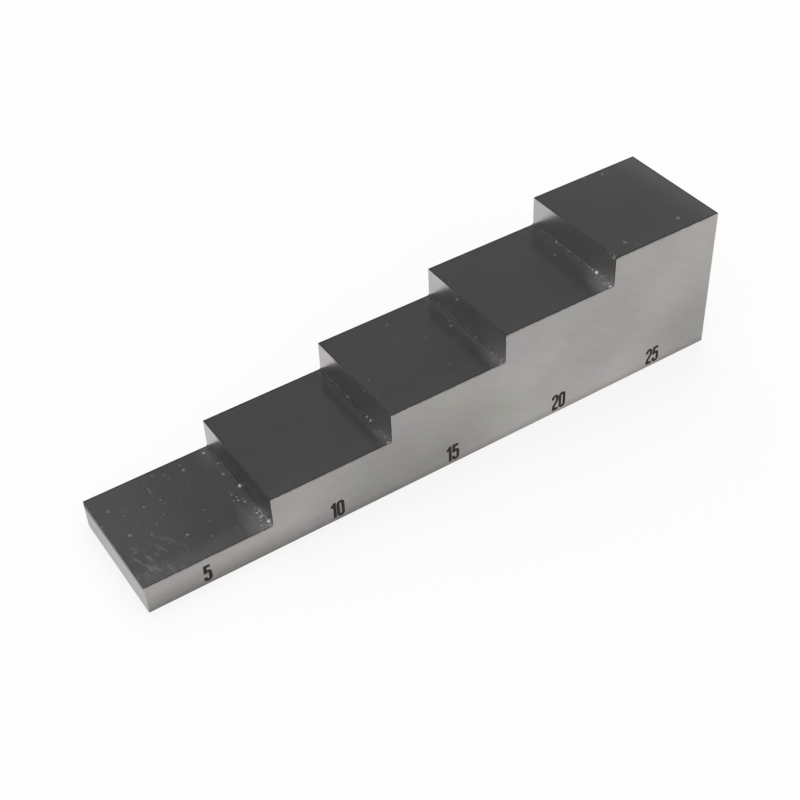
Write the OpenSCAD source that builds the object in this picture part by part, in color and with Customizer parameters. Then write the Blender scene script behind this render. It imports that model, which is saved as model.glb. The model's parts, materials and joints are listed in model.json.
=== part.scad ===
// Step calibration block, ground from one bar of steel.
// Its thickness rises along its length in equal steps, each a flat of a known thickness.
// Millimetres. X runs from the thinnest flat to the thickest, Y across the block and Z up.
// The origin is the middle of the underside.

/* [Steps] */
// Number of flats along the block
step_count = 5; // [2:1:10]
// Length of one flat, from one riser to the next
step_len = 20; // [8:0.5:40]
// Thickness of the block at its thinnest flat
first_t = 5; // [3:0.5:15]
// Rise from one flat to the next
rise = 5; // [2.5:0.5:10]

/* [Bar] */
// Width of the bar that the block is ground from
bar_w = 20; // [8:0.5:60]

/* [Edges and corners] */
// Leg of the small bevel that breaks every outside edge
edge_break = 0.1; // [0.05:0.05:0.5]
// Radius that the grinding wheel leaves at the foot of each riser
root_r = 0.3; // [0.1:0.05:1]

/* [Hidden] */

// Facets round a full circle, where a round is drawn in facets
$fn = 64;
// How far a cutter runs past the face that it leaves
overrun = 1;
// How far the steel below a flat runs on into the steel below the next, past its own broken end
lap = 4 * edge_break;
// How deep a root fillet's web reaches below its flat and behind its riser
web_depth = 2 * edge_break;

low_end = -step_count * step_len / 2;
front = -bar_w / 2;

// Thickness of the block at flat k, counted from 0 at the thin end
function flat_t(k) = first_t + k * rise;
// Place along X of the riser at the low end of flat k
function riser_x(k) = low_end + k * step_len;

// Outline of a rectangle from [0, 0] to size, with a bevel of leg b across each corner
function bevelled(size, b) = [
    [b, 0], [size.x - b, 0], [size.x, b], [size.x, size.y - b],
    [size.x - b, size.y], [b, size.y], [0, size.y - b], [0, b]
];

// Box from the origin to size, with all twelve edges broken and mitred where they meet
module broken_box(size, b) {
    intersection() {
        linear_extrude(size.z)
            polygon(bevelled([size.x, size.y], b));
        translate([0, size.y, 0])
            rotate([90, 0, 0])
                linear_extrude(size.y)
                    polygon(bevelled([size.x, size.z], b));
        rotate([90, 0, 90])
            linear_extrude(size.x)
                polygon(bevelled([size.y, size.z], b));
    }
}

// The steel below flat k, from its riser to a lap inside the thicker steel beyond
module tread(k) {
    run = k < step_count - 1 ? step_len + lap : step_len;
    translate([riser_x(k), front, 0])
        broken_box([run, bar_w, flat_t(k)], edge_break);
}

// What the wheel sweeps clear at a riser's foot, along Y from face to face of the bar:
// a rod of the root radius that flares at both faces, where the edge break runs round it
module wheel_sweep() {
    flare_r = root_r + edge_break;
    rotate([-90, 0, 0]) {
        translate([0, 0, -overrun])
            cylinder(h = bar_w + 2 * overrun, r = root_r);
        cylinder(h = edge_break, r1 = flare_r, r2 = root_r);
        translate([0, 0, bar_w - edge_break])
            cylinder(h = edge_break, r1 = root_r, r2 = flare_r);
    }
}

// Root fillet at the foot of the riser that leads up to flat k. Its web reaches into the steel
// behind the broken edges, so that it shares no edge with them
module root_fillet(k) {
    web = root_r + web_depth;
    translate([riser_x(k), front, flat_t(k - 1)])
        difference() {
            translate([-root_r, 0, -web_depth])
                cube([web, bar_w, web]);
            translate([-root_r, 0, root_r])
                wheel_sweep();
        }
}

module step_block() {
    color([0.62, 0.61, 0.6])
        union() {
            for (k = [0 : step_count - 1])
                tread(k);
            for (k = [1 : step_count - 1])
                root_fillet(k);
        }
}

step_block();
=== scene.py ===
import json
import math

import bmesh
import bpy
from mathutils import Matrix, Vector


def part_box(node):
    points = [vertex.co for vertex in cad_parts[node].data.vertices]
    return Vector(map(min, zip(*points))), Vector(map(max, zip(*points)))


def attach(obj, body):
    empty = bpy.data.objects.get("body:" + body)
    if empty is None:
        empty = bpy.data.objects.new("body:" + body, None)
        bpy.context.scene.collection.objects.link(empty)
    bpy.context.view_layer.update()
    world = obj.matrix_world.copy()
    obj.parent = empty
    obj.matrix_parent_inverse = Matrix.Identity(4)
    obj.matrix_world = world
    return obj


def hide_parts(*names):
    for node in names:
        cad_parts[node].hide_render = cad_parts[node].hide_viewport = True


bl_info = {
    "name": "Step calibration block",
    "version": (1, 0, 0),
    "blender": (4, 5, 0),
    "location": "View3D > Sidebar > Step Block",
    "description": "Builds a ground steel step block with engraved numerals, and a pale stage for it",
    "category": "Add Mesh",
}

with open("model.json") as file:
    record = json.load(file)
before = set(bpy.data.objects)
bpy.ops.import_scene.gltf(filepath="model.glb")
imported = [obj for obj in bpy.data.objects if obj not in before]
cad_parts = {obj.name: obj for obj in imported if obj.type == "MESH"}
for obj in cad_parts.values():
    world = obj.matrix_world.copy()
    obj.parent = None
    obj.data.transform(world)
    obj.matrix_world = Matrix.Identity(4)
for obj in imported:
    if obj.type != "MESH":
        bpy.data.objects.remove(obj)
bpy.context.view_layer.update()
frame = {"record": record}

# Metres in a millimetre. Pieces are modelled at a thousand times their size, so that one Blender unit is
# a millimetre, and are brought to size once they are whole: merging and cutting suit sizes near one. Every
# place and size below is in millimetres, apart from the settings, whose lengths are in metres
MM = 0.001
# A distance that counts as nothing when places are compared
NEAR = 0.005
ALONG = Vector((1, 0, 0))
ACROSS = Vector((0, 1, 0))
UP = Vector((0, 0, 1))

LOW, HIGH = (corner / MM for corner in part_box("step_block"))
FRONT_Y, BACK_Y = LOW.y, HIGH.y


def flats_from_record():
    """Centre of each flat, from the thinnest to the thickest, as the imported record's mounts give them."""
    mounts = frame["record"]["mounts"]
    centres = [Vector(m["pos_m"]) / MM for m in mounts if m["name"].startswith("flat_")]
    return sorted(centres, key=lambda centre: centre.z)


FLATS = flats_from_record()
STEP_LENGTH = (HIGH.x - LOW.x) / len(FLATS)
# Place along X of each riser, which stands at the low end of every flat but the first
RISERS = [LOW.x + k * STEP_LENGTH for k in range(1, len(FLATS))]


# Settings that a user would change


class BlockSettings(bpy.types.PropertyGroup):
    edge_radius: bpy.props.FloatProperty(
        name="Edge radius",
        description="Radius of the stoned round along every outside edge",
        default=0.1 * MM, min=0.02 * MM, max=1 * MM, precision=5, subtype="DISTANCE", unit="LENGTH",
    )
    edge_segments: bpy.props.IntProperty(
        name="Edge segments",
        description="Facets across the round of an outside edge",
        default=4, min=1, max=12,
    )
    root_radius: bpy.props.FloatProperty(
        name="Root radius",
        description="Radius that the grinding wheel leaves at the foot of each riser",
        default=0.3 * MM, min=0.1 * MM, max=2 * MM, precision=5, subtype="DISTANCE", unit="LENGTH",
    )
    root_segments: bpy.props.IntProperty(
        name="Root segments",
        description="Facets across the hollow at the foot of a riser",
        default=8, min=2, max=24,
    )
    root_tooth: bpy.props.FloatProperty(
        name="Root tooth",
        description="How far the torn steel in the hollow of a root stands out of true",
        default=0.02 * MM, min=0, max=0.2 * MM, precision=5, subtype="DISTANCE", unit="LENGTH",
    )
    steel_colour: bpy.props.FloatVectorProperty(
        name="Steel colour",
        description="Colour that the ground ends and the bare edges reflect",
        default=(0.388, 0.385, 0.382), min=0, max=1, size=3, subtype="COLOR",
    )
    side_colour: bpy.props.FloatVectorProperty(
        name="Side colour",
        description="Colour that the long ground sides reflect",
        default=(0.380, 0.363, 0.350), min=0, max=1, size=3, subtype="COLOR",
    )
    flat_colour: bpy.props.FloatVectorProperty(
        name="Flat colour",
        description="Colour that the lapped flats reflect",
        default=(0.56, 0.555, 0.56), min=0, max=1, size=3, subtype="COLOR",
    )
    riser_colour: bpy.props.FloatVectorProperty(
        name="Riser colour",
        description="Colour that the ground risers reflect",
        default=(0.468, 0.455, 0.452), min=0, max=1, size=3, subtype="COLOR",
    )


class NumeralSettings(bpy.types.PropertyGroup):
    height: bpy.props.FloatProperty(
        name="Height",
        description="Height of a numeral",
        default=3.05 * MM, min=1 * MM, max=5 * MM, precision=5, subtype="DISTANCE", unit="LENGTH",
    )
    stroke: bpy.props.FloatProperty(
        name="Stroke",
        description="Width of a numeral's strokes",
        default=0.52 * MM, min=0.1 * MM, max=1 * MM, precision=5, subtype="DISTANCE", unit="LENGTH",
    )
    foot: bpy.props.FloatProperty(
        name="Foot",
        description="Height of a numeral's foot above the underside of the block",
        default=0.62 * MM, min=0.3 * MM, max=2 * MM, precision=5, subtype="DISTANCE", unit="LENGTH",
    )
    depth: bpy.props.FloatProperty(
        name="Depth",
        description="Depth of the etched grooves",
        default=0.06 * MM, min=0.01 * MM, max=0.3 * MM, precision=5, subtype="DISTANCE", unit="LENGTH",
    )
    sunk: bpy.props.FloatProperty(
        name="Sunk",
        description="How far the dark fill lies below the face of the steel",
        default=0.012 * MM, min=0, max=0.1 * MM, precision=5, subtype="DISTANCE", unit="LENGTH",
    )
    colour: bpy.props.FloatVectorProperty(
        name="Colour",
        description="Colour of the dark fill",
        default=(0.028, 0.021, 0.017), min=0, max=1, size=3, subtype="COLOR",
    )


class StageSettings(bpy.types.PropertyGroup):
    floor_size: bpy.props.FloatProperty(
        name="Floor size",
        description="Width of the square floor",
        default=6, min=1, max=20, subtype="DISTANCE", unit="LENGTH",
    )
    floor_colour: bpy.props.FloatVectorProperty(
        name="Floor colour",
        description="Colour of the pale paper that the block stands on",
        default=(0.93, 0.93, 0.93), min=0, max=1, size=3, subtype="COLOR",
    )
    floor_whiteness: bpy.props.FloatProperty(
        name="Floor whiteness",
        description="Share of pure white in the floor that the camera and reflections see, over its shadow",
        default=0.8, min=0, max=1, subtype="FACTOR",
    )
    wall_light: bpy.props.FloatProperty(
        name="Wall light",
        description="Brightness of the pale walls that ring the stage, where 1 is white",
        default=0.96, min=0, max=2,
    )
    ceiling_light: bpy.props.FloatProperty(
        name="Ceiling light",
        description="Brightness of the dark ceiling above the walls",
        default=0.1062, min=0, max=2,
    )
    ceiling_lean: bpy.props.FloatProperty(
        name="Ceiling lean",
        description="Share by which the ceiling is brighter over the thin end than over the thick end",
        default=0.28, min=0, max=1, subtype="FACTOR",
    )
    back_lamp: bpy.props.FloatProperty(
        name="Back lamp",
        description="Strength of the broad lamp behind the block, in watts on each square metre",
        default=0.9, min=0, max=20,
    )
    front_lamp: bpy.props.FloatProperty(
        name="Front lamp",
        description="Strength of the broad lamp in front of the block, in watts on each square metre",
        default=1.9, min=0, max=20,
    )
    lens: bpy.props.FloatProperty(
        name="Lens",
        description="Focal length of the camera",
        default=64.58, min=10, max=300, subtype="DISTANCE_CAMERA", unit="CAMERA",
    )
    lens_shift: bpy.props.FloatProperty(
        name="Lens shift",
        description="How far the picture lies to the side of the lens's axis, as a share of its width",
        default=-0.01, min=-0.5, max=0.5,
    )
    camera_place: bpy.props.FloatVectorProperty(
        name="Camera place",
        description="Where the camera stands, from the middle of the block's underside",
        default=(-86.55 * MM, -137.72 * MM, 150.34 * MM), size=3, subtype="TRANSLATION", unit="LENGTH",
    )
    camera_turn: bpy.props.FloatProperty(
        name="Camera turn",
        description="How far the camera's view turns from straight at the front face towards the high end",
        default=math.radians(31.90), subtype="ANGLE", unit="ROTATION",
    )
    camera_tilt: bpy.props.FloatProperty(
        name="Camera tilt",
        description="How far the camera looks down",
        default=math.radians(41.65), subtype="ANGLE", unit="ROTATION",
    )
    camera_roll: bpy.props.FloatProperty(
        name="Camera roll",
        description="How far the camera leans about its own line of view",
        default=math.radians(-2.51), subtype="ANGLE", unit="ROTATION",
    )


# Node helpers


def new_group(name, output="Mask", kind="Float", **inputs):
    """An empty shader node group with one output, which reads a place and the inputs that are named."""
    tree = bpy.data.node_groups.new(name, "ShaderNodeTree")
    kinds = {1: "Float", 3: "Vector", 4: "Color"}
    for socket, value in {"place": (0, 0, 0), **inputs}.items():
        parts = len(value) if isinstance(value, tuple) else 1
        socket_type = "NodeSocket" + kinds[parts]
        made = tree.interface.new_socket(socket.capitalize(), in_out="INPUT", socket_type=socket_type)
        made.default_value = value
    tree.interface.new_socket(output, in_out="OUTPUT", socket_type="NodeSocket" + kind)
    start = tree.nodes.new("NodeGroupInput")
    end = tree.nodes.new("NodeGroupOutput")
    return tree, start.outputs, end.inputs[0]


def feed(tree, socket, source):
    """Gives an input socket its source, which is an output socket or a plain value."""
    if isinstance(source, bpy.types.NodeSocket):
        tree.links.new(source, socket)
    elif source is not None:
        socket.default_value = source


def math_node(tree, operation, first, second=None, third=None, clamp=False):
    node = tree.nodes.new("ShaderNodeMath")
    node.operation = operation
    node.use_clamp = clamp
    for socket, source in zip(node.inputs, (first, second, third)):
        feed(tree, socket, source)
    return node.outputs[0]


def times(tree, *factors):
    """The product of several values."""
    product = factors[0]
    for factor in factors[1:]:
        product = math_node(tree, "MULTIPLY", product, factor)
    return product


def greatest(tree, *values):
    """The greatest of several values."""
    most = values[0]
    for value in values[1:]:
        most = math_node(tree, "MAXIMUM", most, value)
    return most


def scaled(tree, value, factor, added):
    """A value times a factor, and something added to that."""
    return math_node(tree, "MULTIPLY_ADD", value, factor, added)


def vector_node(tree, operation, first, second=None, third=None, scale=None):
    node = tree.nodes.new("ShaderNodeVectorMath")
    node.operation = operation
    for socket, source in zip(node.inputs, (first, second, third, scale)):
        feed(tree, socket, source)
    return node.outputs["Value" if operation in ("LENGTH", "DISTANCE") else "Vector"]


def split(tree, place):
    """The X, Y and Z of a place."""
    node = tree.nodes.new("ShaderNodeSeparateXYZ")
    feed(tree, node.inputs[0], place)
    return node.outputs


def turned(tree, place, axis, angle):
    """A place turned by an angle about one of the axes."""
    node = tree.nodes.new("ShaderNodeVectorRotate")
    node.rotation_type = axis + "_AXIS"
    feed(tree, node.inputs["Vector"], place)
    feed(tree, node.inputs["Angle"], angle)
    return node.outputs["Vector"]


def ramp_between(tree, value, low, high, to_low=0.0, to_high=1.0):
    """Eases value from to_low at low to to_high at high."""
    node = tree.nodes.new("ShaderNodeMapRange")
    node.interpolation_type = "SMOOTHSTEP"
    sockets = ("Value", "From Min", "From Max", "To Min", "To Max")
    for name, source in zip(sockets, (value, low, high, to_low, to_high)):
        feed(tree, node.inputs[name], source)
    return node.outputs["Result"]


def blend_colours(tree, factor, first, second):
    node = tree.nodes.new("ShaderNodeMix")
    node.data_type = "RGBA"
    feed(tree, node.inputs["Factor"], factor)
    feed(tree, node.inputs[6], first)
    feed(tree, node.inputs[7], second)
    return node.outputs[2]


def noise_node(tree, place, scale, detail=2.0, roughness=0.5, output="Fac"):
    node = tree.nodes.new("ShaderNodeTexNoise")
    sockets = ("Vector", "Scale", "Detail", "Roughness")
    for name, source in zip(sockets, (place, scale, detail, roughness)):
        feed(tree, node.inputs[name], source)
    return node.outputs[output]


def uneven(tree, place, scale, detail, roughness):
    """Noise about nothing, from a half below it to a half above."""
    return math_node(tree, "SUBTRACT", noise_node(tree, place, scale, detail, roughness), 0.5)


def uneven_vector(tree, place, scale, detail=2.0):
    """Noise about nothing in each direction."""
    noise = noise_node(tree, place, scale, detail, output="Color")
    return vector_node(tree, "SUBTRACT", noise, (0.5, 0.5, 0.5))


def grouped(tree, group, **inputs):
    """The output of a node group that is placed in another tree, with its inputs fed by their names."""
    node = tree.nodes.new("ShaderNodeGroup")
    node.node_tree = group
    for name, source in inputs.items():
        feed(tree, node.inputs[name.capitalize()], source)
    return node.outputs[0]


def opaque(colour, gain=1.0):
    """A colour made brighter or darker by a gain, with full cover."""
    return tuple(min(1.0, channel * gain) for channel in colour) + (1.0,)


# Places of the wear at the roots, counted from the thin end

# The film on the flat along each root: how thick it lies at the front end and further back, over what
# length it thins out, and how far it reaches from the riser at the front and further back
ROOT_BANDS = (
    (0.60, 0.20, 8.0, 4.8, 2.8),
    (0.52, 0.06, 5.0, 1.4, 1.8),
    (0.46, 0.12, 7.0, 2.8, 1.8),
    (0.54, 0.08, 8.0, 4.2, 1.6),
)
# How thick the film lies on the front end of each riser, how far it reaches, and how far its middle lies
# from the riser
RISER_SMEARS = (0.0, 0.16, 0.20, 0.14)
SMEAR_REACH = (3.0, 9.0, 8.0)
SMEAR_SETBACK = 0.4
# Grit and painted sparkle at each root: how bright, how far its middle lies from the riser, how far it
# reaches
GRIT_AND_SPARKLE_STRENGTHS = (1.2, 0.5, 0.55, 1.2)
GRIT_SETBACK = 0.3
GRIT_REACH = (2.2, 7.0, 2.0)
# Chips and painted glints at each root: how far each lies from the front side, back from the riser and up
# from the flat, how far it reaches and how bright it is
ROOT_CHIPS_AND_GLINTS = (
    (
        (1.1, 0.15, 0.05, 0.45, 1.0), (0.4, 0.35, 0, 0.35, 0.7), (2.6, 0.4, 0, 0.3, 0.7),
        (3.6, 0.2, 0.05, 0.3, 0.7), (4.4, 0.5, 0, 0.25, 0.5), (9.6, 0.15, 0.05, 0.36, 0.9),
        (6.4, 1.0, 0, 0.28, 0.6), (7.1, 1.0, 0, 0.22, 0.4), (7.2, 1.7, 0, 0.30, 0.5),
        (8.0, 1.5, 0, 0.22, 0.45), (7.6, 2.2, 0, 0.24, 0.4), (8.8, 1.9, 0, 0.24, 0.35),
        (13.2, 0.9, 0, 0.36, 0.5), (15.6, 0.5, 0, 0.3, 0.5), (18.8, 1.2, 0, 0.35, 0.5),
        (6.0, 0, 4.5, 0.25, 0.3),
    ),
    (
        (0.2, 0.5, 0, 0.5, 0.6), (1.5, 0.3, 0, 0.3, 0.4), (3.0, 0.2, 0.05, 0.3, 0.3),
        (5.6, 0.15, 0.1, 0.35, 0.5), (6.6, 0.1, 0.05, 0.3, 0.5), (7.1, 0, 4.7, 0.3, 0.35),
        (12.0, 0.1, 0.1, 0.3, 0.3),
    ),
    (
        (0.1, 0.6, 0, 0.4, 0.6), (0.8, 0.2, 0.1, 0.3, 0.5), (2.2, 0.15, 0.1, 0.25, 0.3),
        (11.7, 1.6, 0, 0.3, 0.3), (12.7, 1.2, 0, 0.25, 0.25), (12.4, 0, 3.8, 0.35, 0.5),
        (7.4, 0.1, 0.1, 0.25, 0.3),
    ),
    (
        (4.1, 0.1, 0.1, 0.45, 1.0), (3.5, 0.8, 0, 0.3, 0.35), (0.2, 0.6, 0, 0.45, 1.0),
        (1.1, 0.35, 0, 0.35, 0.6), (0.9, 1.1, 0, 0.3, 0.4), (5.0, 0.05, 0.05, 0.3, 0.6),
        (5.9, 0.1, 0.05, 0.3, 0.5), (2.8, 0, 0.1, 0.25, 0.5), (8.1, 0.4, 0, 0.25, 0.3),
        (10.7, 0.05, 0.05, 0.25, 0.35), (13.9, 0.05, 0.1, 0.3, 0.5), (0.6, 0, 4.9, 0.4, 0.5),
        (1.6, 0, 4.95, 0.3, 0.35),
    ),
)


# Shader effects, each a node group that is built once. All read a place in millimetres


def make_grind_group():
    """Grinding lines: noise drawn out along one axis by the stretch."""
    tree, given, out = new_group("Grinding lines", "Lines", stretch=(0.05, 1, 5))
    drawn = vector_node(tree, "MULTIPLY", given["Place"], given["Stretch"])
    fine = noise_node(tree, drawn, 1.0, 3.0, 0.6)
    coarse = noise_node(tree, drawn, 0.23, 2.0, 0.5)
    feed(tree, out, scaled(tree, coarse, 0.6, times(tree, fine, 0.4)))
    return tree


def make_dust_group():
    """Dust specks: scattered small spots of uneven size, some cells left bare."""
    tree, given, out = new_group("Dust specks", spacing=2.0, size=0.2, amount=0.5, seed=0.0)
    shifted = vector_node(tree, "ADD", given["Place"], given["Seed"])
    wobble = noise_node(tree, shifted, 2.6, output="Color")
    bent = vector_node(tree, "MULTIPLY_ADD", wobble, (0.5, 0.5, 0.5), shifted)
    cells = tree.nodes.new("ShaderNodeTexVoronoi")
    feed(tree, cells.inputs["Vector"], bent)
    feed(tree, cells.inputs["Scale"], math_node(tree, "DIVIDE", 1.0, given["Spacing"]))
    chance = tree.nodes.new("ShaderNodeSeparateColor")
    tree.links.new(cells.outputs["Color"], chance.inputs["Color"])
    reach = math_node(tree, "DIVIDE", given["Size"], given["Spacing"])
    reach = times(tree, reach, scaled(tree, chance.outputs["Green"], 0.8, 0.35))
    spot = ramp_between(tree, cells.outputs["Distance"], times(tree, reach, 0.55), reach, 1.0, 0.0)
    kept = math_node(tree, "LESS_THAN", chance.outputs["Red"], given["Amount"])
    strength = scaled(tree, chance.outputs["Blue"], 0.8, 0.2)
    feed(tree, out, math_node(tree, "MULTIPLY", times(tree, spot, kept), strength, clamp=True))
    return tree


def make_scratch_group():
    """Fine scratches: thin broken lines that run at one angle across a flat."""
    tree, given, out = new_group("Fine scratches", turn=0.4, length=8.0, width=0.02, amount=0.4)
    squeeze = tree.nodes.new("ShaderNodeCombineXYZ")
    feed(tree, squeeze.inputs["X"], math_node(tree, "DIVIDE", 1.0, given["Length"]))
    squeeze.inputs["Y"].default_value = 0.55
    squeeze.inputs["Z"].default_value = 0.3
    along = turned(tree, given["Place"], "Z", given["Turn"])
    drawn = vector_node(tree, "MULTIPLY", along, squeeze.outputs["Vector"])
    off = math_node(tree, "ABSOLUTE", uneven(tree, drawn, 1.0, 2.0, 0.6))
    line = ramp_between(tree, off, 0.0, given["Width"], 1.0, 0.0)
    broken = noise_node(tree, given["Place"], 0.35, 3.0, 0.6)
    kept = ramp_between(tree, broken, math_node(tree, "SUBTRACT", 1.0, given["Amount"]), 1.0)
    feed(tree, out, math_node(tree, "MULTIPLY", line, kept, clamp=True))
    return tree


def make_patch_group():
    """Worn patch: a soft ragged patch round a centre."""
    tree, given, out = new_group("Worn patch", centre=(0, 0, 0), reach=(2, 2, 2), ragged=0.4)
    away = vector_node(tree, "SUBTRACT", given["Place"], given["Centre"])
    distance = vector_node(tree, "LENGTH", vector_node(tree, "DIVIDE", away, given["Reach"]))
    torn = scaled(tree, uneven(tree, given["Place"], 0.8, 4.0, 0.65), given["Ragged"], distance)
    feed(tree, out, ramp_between(tree, torn, 0.15, 1.0, 1.0, 0.0))
    return tree


def make_mottle_group():
    """Mottled tint: slow drifts of warm, cool and dull steel over a face."""
    grey = (0.5, 0.5, 0.5, 1)
    tree, given, out = new_group("Mottled tint", "Colour", "Color", base=grey, tint=0.03, shade=0.05)
    tinted = vector_node(tree, "SCALE", uneven_vector(tree, given["Place"], 0.16, 3.0), scale=given["Tint"])
    shaded = times(tree, uneven(tree, given["Place"], 0.07, 2.0, 0.5), given["Shade"])
    moved = vector_node(tree, "ADD", tinted, shaded)
    feed(tree, out, vector_node(tree, "ADD", given["Base"], moved))
    return tree


def make_smear_group(patch_group):
    """Riser smears: the greasy film on the front end of each riser."""
    tree, given, out = new_group("Riser smears")
    place = given["Place"]
    mask = 0.0
    for riser, flat, strength in zip(RISERS, FLATS, RISER_SMEARS):
        centre = Vector((riser - SMEAR_SETBACK, FRONT_Y, flat.z)) - LOW
        patch = grouped(tree, patch_group, place=place, centre=centre, reach=SMEAR_REACH, ragged=0.6)
        mask = greatest(tree, mask, times(tree, patch, strength))
    feed(tree, out, mask)
    return tree


def make_band_group():
    """Root bands: a ragged band of film on the flat along each root, thickest at the front."""
    tree, given, out = new_group("Root bands")
    parts = split(tree, given["Place"])
    drawn = vector_node(tree, "MULTIPLY", given["Place"], (1.1, 0.45, 1))
    ripple = uneven(tree, drawn, 1.0, 3.0, 0.6)
    mask = 0.0
    for riser, (front, along, fade, front_reach, reach) in zip(RISERS, ROOT_BANDS):
        away = math_node(tree, "SUBTRACT", riser - LOW.x, parts["X"])
        before = math_node(tree, "GREATER_THAN", away, -NEAR)
        wide = ramp_between(tree, parts["Y"], 0.0, fade, front_reach, reach)
        wavy = scaled(tree, ripple, 1.6, away)
        band = ramp_between(tree, wavy, times(tree, wide, 0.1), wide, before, 0.0)
        thick = ramp_between(tree, parts["Y"], 0.0, fade, front, along)
        mask = greatest(tree, mask, times(tree, band, thick))
    patchy = math_node(tree, "ADD", noise_node(tree, given["Place"], 0.9, 3.0, 0.7), 0.5)
    feed(tree, out, math_node(tree, "MULTIPLY", mask, patchy, clamp=True))
    return tree


def make_chip_and_glint_group():
    """Root chips: bright spots in the roots and beside them, each at its own place, part torn steel and
    part painted glints.
    """
    tree, given, out = new_group("Root chips")
    wobble = uneven_vector(tree, given["Place"], 3.0)
    bent = vector_node(tree, "MULTIPLY_ADD", wobble, (0.5, 0.5, 0.5), given["Place"])
    mask = 0.0
    for riser, flat, chips in zip(RISERS, FLATS, ROOT_CHIPS_AND_GLINTS):
        for across, back, up, reach, strength in chips:
            centre = Vector((riser - back, FRONT_Y + across, flat.z + up)) - LOW
            distance = vector_node(tree, "DISTANCE", bent, centre)
            mask = greatest(tree, mask, ramp_between(tree, distance, reach * 0.3, reach, strength, 0.0))
    torn = ramp_between(tree, noise_node(tree, given["Place"], 4.5, 2.0, 0.6), 0.31, 0.47)
    feed(tree, out, times(tree, mask, torn))
    return tree


def make_grit_and_sparkle_group(patch_group, dust_group):
    """Root grit: fine bright grit and painted sparkle that lie thick in the front end of each root and
    round it.
    """
    tree, given, out = new_group("Root grit")
    place = given["Place"]
    mask = 0.0
    for riser, flat, strength in zip(RISERS, FLATS, GRIT_AND_SPARKLE_STRENGTHS):
        centre = Vector((riser - GRIT_SETBACK, FRONT_Y, flat.z)) - LOW
        patch = grouped(tree, patch_group, place=place, centre=centre, reach=GRIT_REACH, ragged=0.8)
        mask = greatest(tree, mask, times(tree, patch, strength))
    specks = grouped(tree, dust_group, place=place, spacing=0.5, size=0.22, amount=0.5, seed=5.2)
    drawn = vector_node(tree, "MULTIPLY", place, (2.4, 4.5, 2.4))
    flecks = ramp_between(tree, noise_node(tree, drawn, 1.0, 2.0, 0.7), 0.50, 0.68, 0.0, 0.6)
    grit = greatest(tree, specks, flecks)
    feed(tree, out, math_node(tree, "MULTIPLY", grit, mask, clamp=True))
    return tree


def make_rim_shade_group():
    """Flat rim: a narrow rim of painted shade round each flat, apart from the side where its root is."""
    tree, given, out = new_group("Flat rim", width=0.3, back=0.5, riser=0.2, front=0.2, end=0.4)
    parts = split(tree, given["Place"])
    ripple = uneven(tree, given["Place"], 1.6, 2.0, 0.6)
    half = times(tree, given["Width"], 0.5)
    distances = {
        "Back": math_node(tree, "SUBTRACT", BACK_Y - FRONT_Y, parts["Y"]),
        "Riser": math_node(tree, "MODULO", parts["X"], STEP_LENGTH),
        "Front": parts["Y"],
        "End": math_node(tree, "SUBTRACT", HIGH.x - LOW.x, parts["X"]),
    }
    mask = 0.0
    for side, distance in distances.items():
        wavy = scaled(tree, ripple, 0.45, distance)
        mask = greatest(tree, mask, ramp_between(tree, wavy, half, given["Width"], given[side], 0.0))
    feed(tree, out, mask)
    return tree


GROUPS = {}


def shader_groups():
    """The shader effects, built when they are first asked for."""
    if not GROUPS:
        GROUPS["grind"] = make_grind_group()
        GROUPS["dust"] = make_dust_group()
        GROUPS["scratch"] = make_scratch_group()
        GROUPS["patch"] = make_patch_group()
        GROUPS["mottle"] = make_mottle_group()
        GROUPS["root_band"] = make_band_group()
        GROUPS["riser_smear"] = make_smear_group(GROUPS["patch"])
        GROUPS["chips"] = make_chip_and_glint_group()
        GROUPS["root_grit"] = make_grit_and_sparkle_group(GROUPS["patch"], GROUPS["dust"])
        GROUPS["rim"] = make_rim_shade_group()
    return GROUPS


def effect(tree, name, place, **inputs):
    """One of the shader effects, read at a place."""
    return grouped(tree, shader_groups()[name], place=place, **inputs)


def new_material(name):
    """A material, its shader, and the place from the low end, front and underside that patterns read."""
    material = bpy.data.materials.new(name)
    material.use_nodes = True
    tree = material.node_tree
    shader = tree.nodes["Principled BSDF"]
    coordinates = tree.nodes.new("ShaderNodeTexCoord")
    place = vector_node(tree, "MULTIPLY_ADD", coordinates.outputs["Object"], (1 / MM, 1 / MM, 1 / MM), -LOW)
    return material, tree, shader, place


def bumped(tree, shader, height, distance, strength):
    """Feeds the shader's normal from a height, whose full range stands out by a distance in millimetres."""
    bump = tree.nodes.new("ShaderNodeBump")
    bump.inputs["Strength"].default_value = strength
    bump.inputs["Distance"].default_value = distance * MM
    feed(tree, bump.inputs["Height"], height)
    tree.links.new(bump.outputs["Normal"], shader.inputs["Normal"])


# Finishes

# Colours of the dry film that grease and dust leave, of the dust itself, and of freshly torn steel and
# painted glints
FILM = (0.26, 0.25, 0.235, 1)
DUST = (0.45, 0.45, 0.44, 1)
CHIP_AND_GLINT = (0.85, 0.84, 0.82, 1)
# Slant of the wiped streaks from the width of the block, and of the smudges from its length, in degrees
STREAK_SLANT = -16
SMUDGE_SLANT = -35
# Broad soft areas of painted shade on the front side: how far the middle of each lies from the low end and
# up from the underside, how far it reaches either way, and the share of the colour that it loses. Where the
# share is below nothing, the area is painted lighter, as painted light
FRONT_PAINTED_SHADING = (
    ((43, 3), (22, 14), 0.22),
    ((14, 0), (36, 4.4), 0.32),
    ((74, 1), (26, 9), -0.10),
    ((64, 11), (10, 7), -0.06),
    ((97, 5), (10, 9), 0.15),
    ((98, 25), (9, 7), -0.11),
    ((50, 2), (14, 4), 0.07),
)


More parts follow.
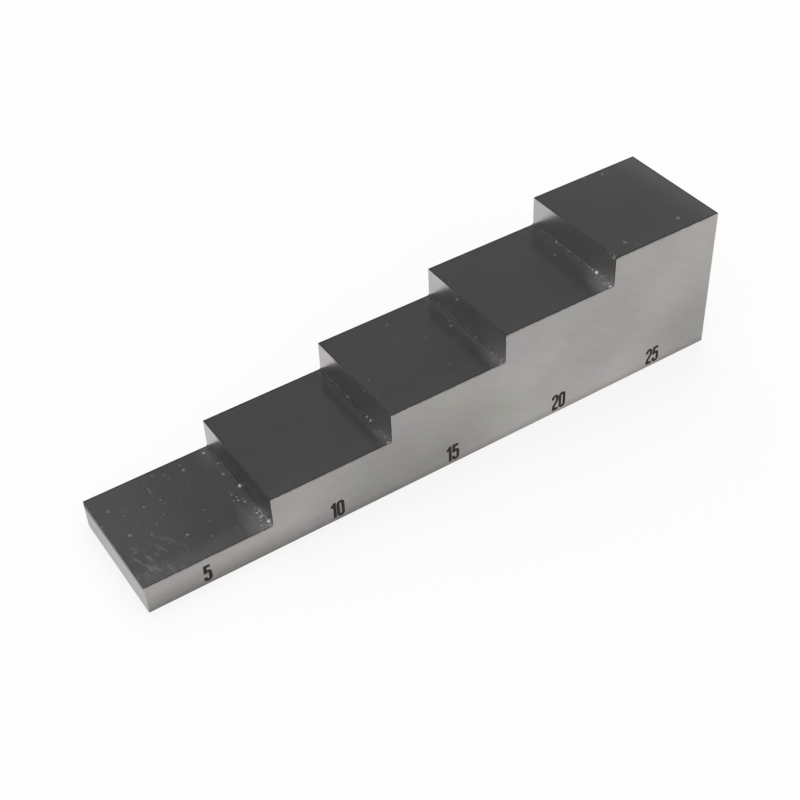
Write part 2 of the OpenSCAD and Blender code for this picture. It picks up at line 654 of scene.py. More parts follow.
def finish_steel(tree, shader, colour, film, dust, roughness, place):
    """Joins bare steel to the film and dust that dull its mirror, and to a root's chips, grit and painted
    glints.
    """
    # Chips and grit in the near-white of torn steel, which also paints the glints at the roots
    bright = greatest(tree, effect(tree, "chips", place), effect(tree, "root_grit", place))
    filmed = blend_colours(tree, film, colour, FILM)
    dusty = blend_colours(tree, dust, filmed, DUST)
    feed(tree, shader.inputs["Base Color"], blend_colours(tree, bright, dusty, CHIP_AND_GLINT))
    covered = greatest(tree, times(tree, film, 0.55), dust, times(tree, bright, 0.8))
    feed(tree, shader.inputs["Metallic"], math_node(tree, "SUBTRACT", 1.0, covered))
    feed(tree, shader.inputs["Roughness"], scaled(tree, covered, 0.3, roughness))


def corner_streaks(tree, place):
    """Short wiped streaks at the front corner of the thinnest flat."""
    centre = (2.6, 2.6, FLATS[0].z)
    near = effect(tree, "patch", place, centre=centre, reach=(8.0, 7.0, 1), ragged=0.9)
    slanted = turned(tree, place, "Z", math.radians(STREAK_SLANT))
    drawn = vector_node(tree, "MULTIPLY", slanted, (1.1, 0.34, 1))
    return times(tree, ramp_between(tree, noise_node(tree, drawn, 1.0, 2.0, 0.5), 0.48, 0.72), near)


def end_haze(tree, along):
    """A thin haze from handling, over the low end of the thinnest flat and the high end of the thickest."""
    low = ramp_between(tree, along, 3.0, 14.0, 0.05, 0.0)
    high = ramp_between(tree, along, HIGH.x - LOW.x - 5.0, HIGH.x - LOW.x - 0.5, 0.0, 0.07)
    return math_node(tree, "ADD", low, high)


def front_wipe(tree, place, inwards, reach):
    """A worn band along the front side of a flat, which fades out inwards."""
    ripple = times(tree, noise_node(tree, place, 0.5, 3.0, 0.6), reach)
    return ramp_between(tree, math_node(tree, "SUBTRACT", inwards, ripple), 0.0, reach, 1.0, 0.0)


def lapped_flat(settings):
    """Dark, near-mirror flats with lapping haze, dust specks, film at the roots and a narrow rim of painted
    shade.
    """
    material, tree, shader, place = new_material("lapped_flat")
    parts = split(tree, place)
    along = parts["X"]
    colour = effect(tree, "mottle", place, base=opaque(settings.flat_colour), tint=0.06, shade=0.10)
    front = ramp_between(tree, along, STEP_LENGTH * 3.8, STEP_LENGTH * 4.1, 0.06, 0.3)
    riser = ramp_between(tree, along, STEP_LENGTH * 0.5, STEP_LENGTH, 0.0, 0.08)
    # A narrow dark rim of painted shade round each flat
    rim = effect(tree, "rim", place, width=0.34, back=0.8, riser=riser, front=front, end=0.5)
    colour = blend_colours(tree, rim, colour, opaque(settings.flat_colour, 0.1))
    amount = ramp_between(tree, along, STEP_LENGTH * 0.4, STEP_LENGTH * 0.9, 0.8, 0.07)
    coarse = effect(tree, "dust", place, spacing=1.5, size=0.34, amount=amount, seed=3.1)
    fine = effect(tree, "dust", place, spacing=0.9, size=0.25, amount=amount, seed=8.6)
    dust = greatest(tree, coarse, times(tree, fine, 0.5))
    dust = times(tree, dust, ramp_between(tree, along, STEP_LENGTH * 0.8, STEP_LENGTH * 1.1, 0.3, 0.2))
    wipe = ramp_between(tree, along, STEP_LENGTH * 0.5, STEP_LENGTH * 1.2, 0.08, 0.015)
    wiped = times(tree, front_wipe(tree, place, parts["Y"], 2.6), wipe)
    streaks = times(tree, corner_streaks(tree, place), 0.36)
    film = greatest(tree, effect(tree, "root_band", place), wiped, streaks)
    film = math_node(tree, "ADD", film, end_haze(tree, along))
    scratches = effect(tree, "scratch", place, turn=0.5, length=9.0, width=0.012, amount=0.5)
    haze = scaled(tree, noise_node(tree, place, 0.35, 4.0, 0.6), 0.05, 0.15)
    finish_steel(tree, shader, colour, film, dust, scaled(tree, scratches, 0.1, haze), place)
    bumped(tree, shader, dust, 0.006, 0.4)
    return material


def ground_riser(settings):
    """Risers, ground with the side of the wheel and less bright than the flats, and painted shade on the
    first.
    """
    material, tree, shader, place = new_material("ground_riser")
    parts = split(tree, place)
    colour = effect(tree, "mottle", place, base=opaque(settings.riser_colour), tint=0.06, shade=0.10)
    # Painted shade over the first riser, apart from its back top corner
    back_and_up = math_node(tree, "ADD", parts["Y"], parts["Z"])
    first_painted_shade = ramp_between(tree, back_and_up, 21, 25, 0.80, 0.97)
    lit = ramp_between(tree, parts["X"], STEP_LENGTH, STEP_LENGTH * 2, first_painted_shade, 1.0)
    # A painted shadow low on the front end of the first riser
    centre = (STEP_LENGTH, 0, FLATS[0].z + 1)
    low = effect(tree, "patch", place, centre=centre, reach=(2, 7, 5), ragged=0.4)
    lit = times(tree, lit, scaled(tree, low, -0.16, 1.0))
    colour = vector_node(tree, "SCALE", colour, scale=lit)
    film = effect(tree, "riser_smear", place)
    dust = times(tree, effect(tree, "dust", place, spacing=2.0, size=0.3, amount=0.25, seed=7.3), 0.25)
    lines = effect(tree, "grind", place, stretch=(1.0, 0.05, 2.2))
    finish_steel(tree, shader, colour, film, dust, scaled(tree, lines, 0.06, 0.265), place)
    return material


def front_painted_shading(tree, place):
    """The share of its colour that each place of a long side keeps under the painted shading."""
    kept = 1.0
    for (along, up), (reach_along, reach_up), loss in FRONT_PAINTED_SHADING:
        reach = (reach_along, 2, reach_up)
        area = effect(tree, "patch", place, centre=(along, 0, up), reach=reach, ragged=0.35)
        kept = times(tree, kept, scaled(tree, area, -loss, 1.0))
    return kept


def rubbed_smudges(tree, place):
    """Slanting smudges of light and shade, as a wiping cloth leaves on ground steel."""
    slanted = turned(tree, place, "Y", math.radians(SMUDGE_SLANT))
    return uneven(tree, vector_node(tree, "MULTIPLY", slanted, (0.22, 0.3, 0.9)), 1.0, 3.0, 0.6)


def painted_top_edge_shade(tree, place, parts):
    """The share that a long side keeps along its top edges, where painted shade darkens it in places."""
    step = math_node(tree, "FLOOR", math_node(tree, "DIVIDE", parts["X"], STEP_LENGTH))
    top = scaled(tree, step, FLATS[1].z - FLATS[0].z, FLATS[0].z)
    below = math_node(tree, "SUBTRACT", top, parts["Z"])
    patchy = ramp_between(tree, noise_node(tree, place, 0.45, 3.0, 0.6), 0.4, 0.7, -0.30, 0.02)
    return scaled(tree, ramp_between(tree, below, 0.1, 0.4, 1.0, 0.0), patchy, 1.0)


def clear_of_painted_edge_shade(tree, parts):
    """How clear each place of an end is of the painted shade that lies along the top of the low end."""
    below = math_node(tree, "SUBTRACT", FLATS[0].z, parts["Z"])
    past = scaled(tree, parts["Y"], -0.02, below)
    at_high_end = math_node(tree, "GREATER_THAN", parts["X"], STEP_LENGTH)
    return greatest(tree, ramp_between(tree, past, 0.08, 1.1), at_high_end)


def front_nicks(tree, place):
    """A scatter of small bright nicks part way up the thick end of the front side."""
    near = effect(tree, "patch", place, centre=(75, 0, 13.5), reach=(6, 2, 4), ragged=0.5)
    nicks = effect(tree, "dust", place, spacing=1.1, size=0.22, amount=0.6, seed=11.7)
    return times(tree, nicks, near, 0.6)


def ground_face(settings, name, colour, stretch):
    """Satin sides, ends and underside, ground along the axis that the stretch draws out."""
    material, tree, shader, place = new_material(name)
    parts = split(tree, place)
    base = effect(tree, "mottle", place, base=opaque(colour), tint=0.06, shade=0.08)
    lines = effect(tree, "grind", place, stretch=stretch)
    lit = scaled(tree, rubbed_smudges(tree, place), 0.16, scaled(tree, lines, 0.10, 0.95))
    metallic = 1.0
    if name == "ground_side":
        # Painted shade, darker towards the underside of a long side
        foot = ramp_between(tree, parts["Z"], 0.1, 1.6, 0.76, 1.0)
        lit = times(tree, lit, foot, front_painted_shading(tree, place), painted_top_edge_shade(tree, place, parts))
    if name == "ground_end":
        # Painted shade on the ends: darker towards the back, and on the low end darker and less metallic
        # along its top
        unshaded = clear_of_painted_edge_shade(tree, parts)
        back = ramp_between(tree, parts["Y"], 11, 20, 0.95, 0.78)
        lit = times(tree, lit, back, scaled(tree, unshaded, 0.68, 0.32))
        metallic = scaled(tree, unshaded, 0.85, 0.15)
    shaded = vector_node(tree, "SCALE", base, scale=lit)
    nicked = blend_colours(tree, front_nicks(tree, place), shaded, opaque(colour, 1.4))
    feed(tree, shader.inputs["Base Color"], nicked)
    feed(tree, shader.inputs["Metallic"], metallic)
    shader.inputs["Specular IOR Level"].default_value = 0.0
    feed(tree, shader.inputs["Roughness"], scaled(tree, lines, 0.10, 0.27))
    bumped(tree, shader, lines, 0.004, 0.5)
    return material


def stoned_edge(settings, name, gain):
    """Rounds along the outside edges, uneven where handling has polished them, and made lighter or darker
    by a gain.
    """
    material, tree, shader, place = new_material(name)
    wear = noise_node(tree, place, 0.9, 4.0, 0.65)
    dull, bright = opaque(settings.steel_colour, 0.6 * gain), opaque(settings.steel_colour, gain)
    colour = blend_colours(tree, ramp_between(tree, wear, 0.4, 0.65), dull, bright)
    nicks = ramp_between(tree, noise_node(tree, place, 2.4, 2.0, 0.6), 0.60, 0.68)
    nicked = blend_colours(tree, nicks, colour, opaque(settings.steel_colour, 0.12))
    feed(tree, shader.inputs["Base Color"], nicked)
    shader.inputs["Metallic"].default_value = 1.0
    feed(tree, shader.inputs["Roughness"], scaled(tree, wear, 0.2, 0.25))
    return material


def torn_root(settings):
    """Hollows at the feet of the risers: torn steel darkened as painted shade, painted lighter in the last
    one, under film and chips.
    """
    material, tree, shader, place = new_material("torn_root")
    grain = noise_node(tree, place, 1.6, 3.0, 0.7)
    # Painted shade: the hollow is darker than the block's steel
    dull, bright = opaque(settings.steel_colour, 0.42), opaque(settings.steel_colour, 0.8)
    colour = blend_colours(tree, ramp_between(tree, grain, 0.36, 0.7), dull, bright)
    # Painted light that makes the last root's hollow lighter
    lit = ramp_between(tree, split(tree, place)["X"], STEP_LENGTH * 3.2, STEP_LENGTH * 3.9, 1.0, 1.28)
    colour = vector_node(tree, "SCALE", colour, scale=lit)
    finish_steel(tree, shader, colour, effect(tree, "root_band", place), 0.0, 0.75, place)
    bumped(tree, shader, grain, 0.05, 0.6)
    return material


def etched_groove(settings):
    """Walls and floors of the numerals, where the steel is burnt dark."""
    material, tree, shader, place = new_material("etched_groove")
    burn = noise_node(tree, place, 3.0, 3.0, 0.6)
    dull, bright = opaque(settings.steel_colour, 0.15), opaque(settings.steel_colour, 0.6)
    colour = blend_colours(tree, ramp_between(tree, burn, 0.5, 0.7), dull, bright)
    feed(tree, shader.inputs["Base Color"], colour)
    shader.inputs["Metallic"].default_value = 1.0
    feed(tree, shader.inputs["Roughness"], scaled(tree, burn, 0.3, 0.4))
    return material


FINISHES = (
    "lapped_flat", "ground_riser", "ground_side", "ground_end", "ground_base",
    "dark_edge", "bright_edge", "torn_root", "etched_groove",
)


def steel_finishes(settings):
    """The block's materials, in the order of FINISHES."""
    made = {
        "lapped_flat": lapped_flat(settings),
        "ground_riser": ground_riser(settings),
        "ground_side": ground_face(settings, "ground_side", settings.side_colour, (0.05, 1.0, 3.0)),
        "ground_end": ground_face(settings, "ground_end", settings.steel_colour, (1.0, 0.06, 3.0)),
        "ground_base": ground_face(settings, "ground_base", settings.steel_colour, (0.05, 2.0, 1.0)),
        # One edge finish in two copies: a darker one as painted shade and a lighter one as painted glint
        "dark_edge": stoned_edge(settings, "dark_edge", 0.5),
        "bright_edge": stoned_edge(settings, "bright_edge", 1.4),
        "torn_root": torn_root(settings),
        "etched_groove": etched_groove(settings),
    }
    return [made[name] for name in FINISHES]


def dark_fill(settings):
    """Brown-black fill of the numerals, a little uneven, as an etched mark is."""
    material, tree, shader, place = new_material("dark_fill")
    grain = noise_node(tree, place, 4.0, 3.0, 0.7)
    worn = ramp_between(tree, noise_node(tree, place, 1.6, 3.0, 0.6), 0.58, 0.75)
    colour = blend_colours(tree, grain, opaque(settings.colour, 0.6), opaque(settings.colour, 1.6))
    feed(tree, shader.inputs["Base Color"], blend_colours(tree, worn, colour, (0.12, 0.10, 0.09, 1)))
    feed(tree, shader.inputs["Roughness"], scaled(tree, grain, 0.25, 0.6))
    shader.inputs["Specular IOR Level"].default_value = 0.15
    bumped(tree, shader, grain, 0.01, 0.6)
    return material


def pale_paper(settings):
    """Floor of plain pale paper with the faintest tooth."""
    material, tree, shader, place = new_material("pale_paper")
    tooth = noise_node(tree, place, 0.5, 2.0, 0.5)
    colours = opaque(settings.floor_colour, 0.995), opaque(settings.floor_colour)
    feed(tree, shader.inputs["Base Color"], blend_colours(tree, tooth, *colours))
    shader.inputs["Roughness"].default_value = 1.0
    shader.inputs["Specular IOR Level"].default_value = 0.0
    whiten(tree, shader, settings.floor_whiteness)
    return material


def whiten(tree, shader, share):
    """Mixes in a share of pure white, which only the camera and reflections see, so it lights nothing."""
    white = tree.nodes.new("ShaderNodeEmission")
    rays = tree.nodes.new("ShaderNodeLightPath").outputs
    seen = greatest(tree, rays["Is Camera Ray"], rays["Is Glossy Ray"], rays["Is Transmission Ray"])
    mixed = tree.nodes.new("ShaderNodeMixShader")
    feed(tree, mixed.inputs[0], times(tree, seen, share))
    tree.links.new(shader.outputs["BSDF"], mixed.inputs[1])
    tree.links.new(white.outputs["Emission"], mixed.inputs[2])
    tree.links.new(mixed.outputs["Shader"], tree.nodes["Material Output"].inputs["Surface"])


# Modelling helpers


def start_clean():
    """Leaves nothing selected and Blender in object mode."""
    if bpy.context.object and bpy.context.object.mode != "OBJECT":
        bpy.ops.object.mode_set(mode="OBJECT")
    bpy.ops.object.select_all(action="DESELECT")


def work_on(piece):
    start_clean()
    piece.select_set(True)
    bpy.context.view_layer.objects.active = piece


def pick(piece, kind, test):
    """In edit mode, selects just the verts, edges or faces for which the test is true. Returns how many."""
    bpy.ops.mesh.select_mode(type={"verts": "VERT", "edges": "EDGE", "faces": "FACE"}[kind])
    bpy.ops.mesh.select_all(action="DESELECT")
    mesh = bmesh.from_edit_mesh(piece.data)
    mesh.normal_update()
    chosen = [item for item in getattr(mesh, kind) if test(item)]
    for item in chosen:
        item.select_set(True)
    bmesh.update_edit_mesh(piece.data)
    return len(chosen)


def apply_modifier(piece, kind, **values):
    work_on(piece)
    modifier = piece.modifiers.new(kind.title(), kind)
    for name, value in values.items():
        setattr(modifier, name, value)
    bpy.ops.object.modifier_apply(modifier=modifier.name)


def join_solids(solids):
    """One closed solid from several that overlap."""
    whole = solids[0]
    for solid in solids[1:]:
        apply_modifier(whole, "BOOLEAN", object=solid, operation="UNION", solver="MANIFOLD")
        bpy.data.objects.remove(solid)
    whole.data.materials.clear()
    return whole


def bring_to_size(piece):
    """Shrinks a piece from its modelling size, a millimetre to a unit, and leaves its object unscaled."""
    work_on(piece)
    piece.scale = (MM, MM, MM)
    bpy.ops.object.transform_apply(location=True, rotation=True, scale=True)


def facing(face, direction):
    """True for a face that is square to a direction and looks along it."""
    return face.normal.dot(direction) > 0.999


def squarely(face, axis):
    """True for a face that is square to an axis, whichever way it looks."""
    return facing(face, axis) or facing(face, -axis)


# The block


def stair_solid():
    """The plain stair: a cube at the thinnest flat, drawn out and stepped up flat by flat."""
    first = FLATS[0]
    start_clean()
    size = (STEP_LENGTH, BACK_Y - FRONT_Y, first.z)
    bpy.ops.mesh.primitive_cube_add(size=1, location=(first.x, 0, first.z / 2), scale=size)
    block = bpy.context.object
    block.name = "ground_block"
    block.data.name = block.name
    bpy.ops.object.transform_apply(location=True, rotation=True, scale=True)
    bpy.ops.object.mode_set(mode="EDIT")
    for lower, upper in zip(FLATS, FLATS[1:]):
        end_x = lower.x + STEP_LENGTH / 2
        pick(block, "faces", lambda f: facing(f, ALONG) and abs(f.calc_center_median().x - end_x) < NEAR)
        bpy.ops.mesh.extrude_region_move(TRANSFORM_OT_translate={"value": ALONG * STEP_LENGTH})
        pick(block, "faces", lambda f: facing(f, UP) and f.calc_center_median().x > end_x)
        bpy.ops.mesh.extrude_region_move(TRANSFORM_OT_translate={"value": UP * (upper.z - lower.z)})
    bpy.ops.mesh.select_all(action="SELECT")
    bpy.ops.mesh.remove_doubles(threshold=NEAR)
    bpy.ops.mesh.dissolve_limited(angle_limit=math.radians(0.5))
    bpy.ops.mesh.select_all(action="SELECT")
    bpy.ops.mesh.normals_make_consistent(inside=False)
    return block


def is_root_line(edge):
    """True for the line where a flat meets the riser behind it."""
    ends = [v.co for v in edge.verts]
    for riser, flat in zip(RISERS, FLATS):
        if all(abs(end.x - riser) < NEAR and abs(end.z - flat.z) < NEAR for end in ends):
            return True
    return False


def bevel_picked(radius, segments):
    """Rounds the picked edges to a radius in metres, as the settings give it."""
    bpy.ops.mesh.bevel(offset=radius / MM, offset_type="OFFSET", segments=segments, affect="EDGES")


def hollow_roots(block, settings):
    count = pick(block, "edges", is_root_line)
    if count != len(RISERS):
        raise RuntimeError(f"the stair has {count} root lines and not {len(RISERS)}")
    bevel_picked(settings.root_radius, settings.root_segments)


def round_edges(block, settings):
    steep = math.radians(45)
    pick(block, "edges", lambda e: e.calc_face_angle(0) > steep)
    bevel_picked(settings.edge_radius, settings.edge_segments)


def in_a_root(point, settings):
    """True for a place in the hollow of a root."""
    reach = settings.root_radius / MM + NEAR
    for riser, flat in zip(RISERS, FLATS):
        if riser - reach < point.x < riser + NEAR and flat.z - NEAR < point.z < flat.z + reach:
            return True
    return False


# Cuts across the hollow of a root, and the length above which an edge in it runs across the block
ROOT_CUTS = 90
LONG_EDGE = 1
# How far the roughest tearing reaches from the front side, and how many times the plain tooth it stands out
ROUGH_REACH = 6.5
ROUGH_GAIN = 1.5
# How far from the long sides a root stays smooth, and how far a numeral keeps from the front side's edges
SMOOTH_END = 0.2
NUMERAL_MARGIN = 0.3


def tear_roots(block, settings):
    """Roughens the hollow of each root, most at its front end, as a worn wheel leaves it."""
    def runs_across(edge):
        ends = [v.co for v in edge.verts]
        span = abs((ends[0] - ends[1]).y)
        return span > LONG_EDGE and all(in_a_root(end, settings) for end in ends)

    pick(block, "edges", runs_across)
    bpy.ops.mesh.subdivide(number_cuts=ROOT_CUTS, smoothness=0)
    tooth = settings.root_tooth / MM
    passes = ((BACK_Y - FRONT_Y, tooth), (ROUGH_REACH, tooth * ROUGH_GAIN))
    for seed, (reach, height) in enumerate(passes):
        pick(block, "verts", lambda v: is_inside_a_root(v, settings) and v.co.y < FRONT_Y + reach)
        bpy.ops.transform.vertex_random(offset=height, uniform=0.3, normal=0.7, seed=seed)


def is_inside_a_root(vert, settings):
    """True for a vert of a root's hollow whose faces all lie in the hollow, clear of the block's sides."""
    if not FRONT_Y + SMOOTH_END < vert.co.y < BACK_Y - SMOOTH_END:
        return False
    return all(all(in_a_root(v.co, settings) for v in f.verts) for f in vert.link_faces)


def in_a_numeral(point, groove_depth):
    """True for a place in the grooves that are cut into the front side."""
    from_ends = min(point.x - LOW.x, HIGH.x - point.x)
    from_rims = min(point.z - LOW.z, FLATS[0].z - point.z)
    deep = NEAR / 2 < point.y - FRONT_Y < groove_depth + NEAR
    return deep and min(from_ends, from_rims) > NUMERAL_MARGIN


def in_an_end_round(point, settings):
    """True for a place in the round of an edge at either end of the block."""
    reach = settings.edge_radius / MM + NEAR
    return point.x < LOW.x + reach or point.x > HIGH.x - reach


def choose_finish(face, settings, groove_depth):
    """Name of the finish of a face of the block, by its place and the way it faces."""
    centre = face.calc_center_median()
    if in_a_numeral(centre, groove_depth):
        return "etched_groove"
    if facing(face, UP):
        return "lapped_flat"
    if facing(face, -UP):
        return "ground_base"
    if squarely(face, ACROSS):
        return "ground_side"
    at_an_end = centre.x < LOW.x + NEAR or centre.x > HIGH.x - NEAR
    if at_an_end and squarely(face, ALONG):
        return "ground_end"
    if in_a_root(centre, settings):
        return "torn_root"
    if facing(face, -ALONG):
        return "ground_riser"
    # Rounds that face the long sides, and upright rounds at the ends, get a painted glint; the rest get
    # painted shade
    upright = abs(face.normal.z) < 0.3
    looks_down = face.normal.z <= -0.1
    beside_a_side = abs(face.normal.y) > math.cos(math.radians(45))
    beside_an_end = in_an_end_round(centre, settings) and upright
    bright = (beside_a_side or beside_an_end) and not looks_down
    return "bright_edge" if bright else "dark_edge"


def finish_faces(block, settings, groove_depth):
    """Gives each face its finish, and keeps the edges of the grooves sharp."""
    mesh = bmesh.from_edit_mesh(block.data)
    mesh.normal_update()
    for face in mesh.faces:
        face.material_index = FINISHES.index(choose_finish(face, settings, groove_depth))
        face.smooth = True
    steep = math.radians(30)
    groove = FINISHES.index("etched_groove")
    for edge in mesh.edges:
        if edge.calc_face_angle(0) > steep and any(f.material_index == groove for f in edge.link_faces):
            edge.smooth = False
    bmesh.update_edit_mesh(block.data)


# The numerals

# Straight steps along a rounded corner of a stroke
ARC_STEPS = 8
# Centrelines of the digits' strokes, for a numeral of the height given first. Each stroke is a list of
# points: how far across, how far up, and the radius that the line turns with there
DIGIT_HEIGHT = 2.85
DIGITS = {
    "0": [
        [
            (0.57, 2.65, 0), (0.95, 2.65, 0.37), (0.95, 0.2, 0.37), (0.2, 0.2, 0.37), (0.2, 2.65, 0.37),
            (0.575, 2.65, 0),
        ],
    ],
    "1": [
        [(0.62, 0, 0), (0.62, 2.85, 0)],
        [(0.1, 2.08, 0), (0.58, 2.6, 0)],
    ],
    "2": [
        [
            (0.2, 2.0, 0), (0.2, 2.65, 0.37), (0.94, 2.65, 0.37), (0.94, 1.72, 0.5), (0.3, 0.75, 0.5),
            (0.26, 0.1, 0),
        ],
        [(0.06, 0.2, 0), (1.08, 0.2, 0)],
    ],
    "5": [
        [(1.04, 2.65, 0), (0.3, 2.65, 0), (0.22, 1.4, 0)],
        [
            (0.24, 1.5, 0), (0.43, 1.74, 0.3), (0.95, 1.74, 0.36), (0.95, 0.2, 0.4), (0.2, 0.2, 0.36),
            (0.18, 0.8, 0),
        ],
    ],
}
DIGIT_WIDTHS = {"0": 1.15, "1": 0.84, "2": 1.12, "5": 1.15}
# Gap between the two digits of a numeral, and the middle of each numeral from the low end
DIGIT_GAP = 0.12
NUMERALS = {"5": 9.28, "10": 30.27, "15": 50.4, "20": 70.3, "25": 89.16}


def rounded_path(points):
    """Points of a line whose corners are rounded to the radius given with each point."""
    path = []
    for index, (x, z, radius) in enumerate(points):
        here = Vector((x, z))
        if index in (0, len(points) - 1) or radius == 0:
            path.append(here)
            continue
        before = Vector(points[index - 1][:2]) - here
        after = Vector(points[index + 1][:2]) - here
        half = before.angle(after) / 2
        reach = min(radius / math.tan(half), before.length, after.length)
        turn_r = reach * math.tan(half)
        middle = here + (before.normalized() + after.normalized()).normalized() * (turn_r / math.sin(half))
        start = here + before.normalized() * reach - middle
        sweep = math.pi - 2 * half
        if before.x * after.y - before.y * after.x > 0:
            sweep = -sweep
        for step in range(ARC_STEPS + 1):
            path.append(middle + Matrix.Rotation(sweep * step / ARC_STEPS, 2) @ start)
    return path


def stroke_solid(points, across, width):
    """One stroke of a digit as a closed solid in the XY plane, a unit thick."""
    curve = bpy.data.curves.new("stroke", "CURVE")
    curve.dimensions = "2D"
    curve.extrude = 0.5
    path = rounded_path(points)
    line = curve.splines.new("POLY")
    line.points.add(len(path) - 1)
    for point, place in zip(line.points, path):
        point.co = (place.x + across, place.y, 0, 1)
    stroke = bpy.data.objects.new("stroke", curve)
    bpy.context.collection.objects.link(stroke)
    work_on(stroke)
    bpy.ops.object.convert(target="MESH")
    stroke = bpy.context.object
    apply_modifier(stroke, "SOLIDIFY", thickness=width, offset=0, use_even_offset=True)
    bpy.ops.object.mode_set(mode="EDIT")
    bpy.ops.mesh.select_all(action="SELECT")
    bpy.ops.mesh.remove_doubles(threshold=NEAR)
    bpy.ops.mesh.normals_make_consistent(inside=False)
    bpy.ops.object.mode_set(mode="OBJECT")
    return stroke


def numeral_solid(text, from_end, sunk, depth, settings):
    """A numeral as one closed solid set into the front side, from sunk behind its face and depth thick."""
    scale = settings.height / MM / DIGIT_HEIGHT
    width = sum(DIGIT_WIDTHS[digit] for digit in text) + DIGIT_GAP * (len(text) - 1)
    across = -width / 2
    strokes = []
    for digit in text:
        strokes += [stroke_solid(points, across, settings.stroke / MM / scale) for points in DIGITS[digit]]
        across += DIGIT_WIDTHS[digit] + DIGIT_GAP
    whole = join_solids(strokes)
    work_on(whole)
    whole.scale = (scale, scale, depth)
    whole.rotation_euler = (math.radians(90), 0, 0)
    whole.location = (LOW.x + from_end, FRONT_Y + sunk + depth / 2, settings.foot / MM)
    bpy.ops.object.transform_apply(location=True, rotation=True, scale=True)
    return whole


def engrave(block, settings):
    """Cuts each numeral into the block. A cutter stands as far out of the face as it goes in."""
    depth = settings.depth / MM
    for text, from_end in NUMERALS.items():
        cutter = numeral_solid(text, from_end, -depth, 2 * depth, settings)
        apply_modifier(block, "BOOLEAN", object=cutter, operation="DIFFERENCE", solver="MANIFOLD")
        bpy.data.objects.remove(cutter)
    block.data.materials.clear()


# Operators


class BuildStage(bpy.types.Operator):
    """Lay the pale floor, light it softly and set the camera"""
    bl_idname = "step_block.build_stage"
    bl_label = "Stage"

    def execute(self, context):
        settings = context.scene.step_stage
        start_clean()
        bpy.ops.mesh.primitive_plane_add(size=settings.floor_size, location=(0, 0, LOW.z * MM))
        floor = context.object
        floor.name = "floor"
        floor.data.materials.append(pale_paper(settings))
        self.light_world(context.scene, settings)
        self.add_lamp("back_lamp", settings.back_lamp, azimuth=20, height=52, spread=60)
        self.add_lamp("front_lamp", settings.front_lamp, azimuth=200, height=68, spread=90)
        self.add_camera(context.scene, settings)
        context.scene.view_settings.view_transform = "Standard"
        return {"FINISHED"}

    def light_world(self, scene, settings):
        """Pale walls all round up to shoulder height, and a dark ceiling over them"""
        world = bpy.data.worlds.new("studio")
        scene.world = world
        world.use_nodes = True
        tree = world.node_tree
        sky = tree.nodes["Background"]
        direction = tree.nodes.new("ShaderNodeTexCoord").outputs["Generated"]
        parts = split(tree, direction)
        wall_top, ceiling_edge, zenith = (math.sin(math.radians(angle)) for angle in (16, 30, 60))
        leaning = ramp_between(tree, parts["X"], 0.05, 0.55, 1 + settings.ceiling_lean, 1.0)
        ceiling = times(tree, leaning, settings.ceiling_light)
        wall = ramp_between(tree, parts["Z"], wall_top, ceiling_edge, settings.wall_light, ceiling)
        upper = ramp_between(tree, parts["Z"], ceiling_edge, zenith, 1.0, 0.8)
        level = times(tree, wall, upper)
        shade = tree.nodes.new("ShaderNodeCombineXYZ")
        for socket in shade.inputs:
            feed(tree, socket, level)
        tree.links.new(shade.outputs[0], sky.inputs["Color"])

    def add_lamp(self, name, strength, azimuth, height, spread):
        """A broad soft lamp. The azimuth turns from +Y towards +X"""
        lamp = bpy.data.lights.new(name, "SUN")
        lamp.energy = strength
        lamp.angle = math.radians(spread)
        holder = bpy.data.objects.new(name, lamp)
        bpy.context.collection.objects.link(holder)
        turn, rise = math.radians(azimuth), math.radians(height)
        towards = Vector((math.sin(turn) * math.cos(rise), math.cos(turn) * math.cos(rise), math.sin(rise)))
        holder.rotation_euler = towards.to_track_quat("Z", "Y").to_euler()
        holder.location = towards
        holder.visible_glossy = False

    def add_camera(self, scene, settings):
        lens = bpy.data.cameras.new("camera")
        lens.lens = settings.lens
        lens.shift_x = settings.lens_shift
        lens.clip_start, lens.clip_end = 1 * MM, 20
        camera = bpy.data.objects.new("camera", lens)
        bpy.context.collection.objects.link(camera)
        turn, tilt = settings.camera_turn, settings.camera_tilt
        view = Vector((math.sin(turn) * math.cos(tilt), math.cos(turn) * math.cos(tilt), -math.sin(tilt)))
        aimed = view.to_track_quat("-Z", "Y").to_matrix()
        leaning = aimed @ Matrix.Rotation(settings.camera_roll, 3, "Z")
        camera.rotation_euler = leaning.to_euler()
        camera.location = settings.camera_place
        scene.camera = camera


class BuildNumerals(bpy.types.Operator):
    """Make the dark fill of each numeral, one piece to a numeral"""
    bl_idname = "step_block.build_numerals"
    bl_label = "Numerals"

    def execute(self, context):
        settings = context.scene.step_numerals
        finish = dark_fill(settings)
        sunk, depth = settings.sunk / MM, settings.depth / MM
        for text, from_end in NUMERALS.items():
            fill = numeral_solid(text, from_end, sunk, depth - sunk, settings)
            fill.name = f"numeral_{text}"
            fill.data.name = fill.name
            bring_to_size(fill)
            bpy.ops.object.shade_smooth_by_angle(angle=math.radians(30))
            fill.data.materials.append(finish)
            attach(fill, "root")
        return {"FINISHED"}


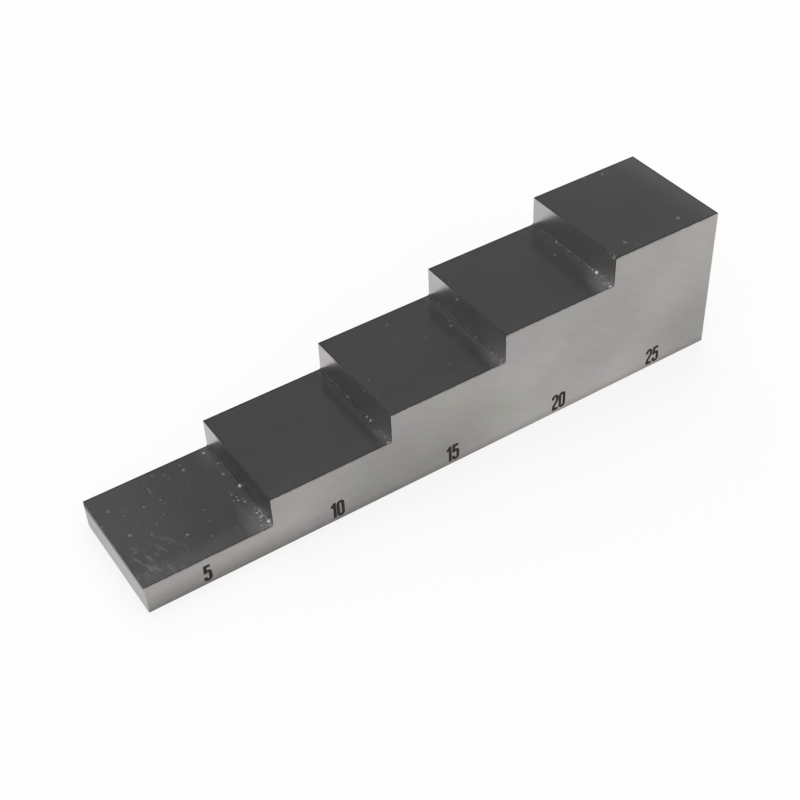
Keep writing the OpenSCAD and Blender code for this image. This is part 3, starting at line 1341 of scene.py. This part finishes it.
class BuildBlock(bpy.types.Operator):
    """Grind the stepped block from one bar and engrave its numerals"""
    bl_idname = "step_block.build_block"
    bl_label = "Ground block"

    def execute(self, context):
        settings = context.scene.step_block
        numerals = context.scene.step_numerals
        block = stair_solid()
        hollow_roots(block, settings)
        round_edges(block, settings)
        bpy.ops.object.mode_set(mode="OBJECT")
        engrave(block, numerals)
        bpy.ops.object.mode_set(mode="EDIT")
        tear_roots(block, settings)
        finish_faces(block, settings, numerals.depth / MM)
        bpy.ops.object.mode_set(mode="OBJECT")
        for finish in steel_finishes(settings):
            block.data.materials.append(finish)
        bring_to_size(block)
        apply_modifier(block, "WEIGHTED_NORMAL", mode="FACE_AREA", weight=100, keep_sharp=True)
        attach(block, "root")
        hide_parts("step_block")
        return {"FINISHED"}


class StepBlockPanel(bpy.types.Panel):
    """Lists the pieces of the step block and their settings"""
    bl_idname = "VIEW3D_PT_step_block"
    bl_label = "Step block"
    bl_space_type = "VIEW_3D"
    bl_region_type = "UI"
    bl_category = "Step Block"

    def draw(self, context):
        layout = self.layout
        rows = (
            (BuildStage, context.scene.step_stage),
            (BuildNumerals, context.scene.step_numerals),
            (BuildBlock, context.scene.step_block),
        )
        for operator, settings in rows:
            box = layout.box()
            box.operator(operator.bl_idname)
            for name in settings.__annotations__:
                box.prop(settings, name)


SETTINGS = {
    "step_block": BlockSettings,
    "step_numerals": NumeralSettings,
    "step_stage": StageSettings,
}
CLASSES = (*SETTINGS.values(), BuildStage, BuildNumerals, BuildBlock, StepBlockPanel)


def register():
    for made in CLASSES:
        bpy.utils.register_class(made)
    for name, group in SETTINGS.items():
        setattr(bpy.types.Scene, name, bpy.props.PointerProperty(type=group))


def unregister():
    for name in SETTINGS:
        delattr(bpy.types.Scene, name)
    for made in reversed(CLASSES):
        bpy.utils.unregister_class(made)


def main():
    register()
    bpy.ops.step_block.build_stage()
    bpy.ops.step_block.build_numerals()
    bpy.ops.step_block.build_block()


if __name__ == "__main__":
    main()
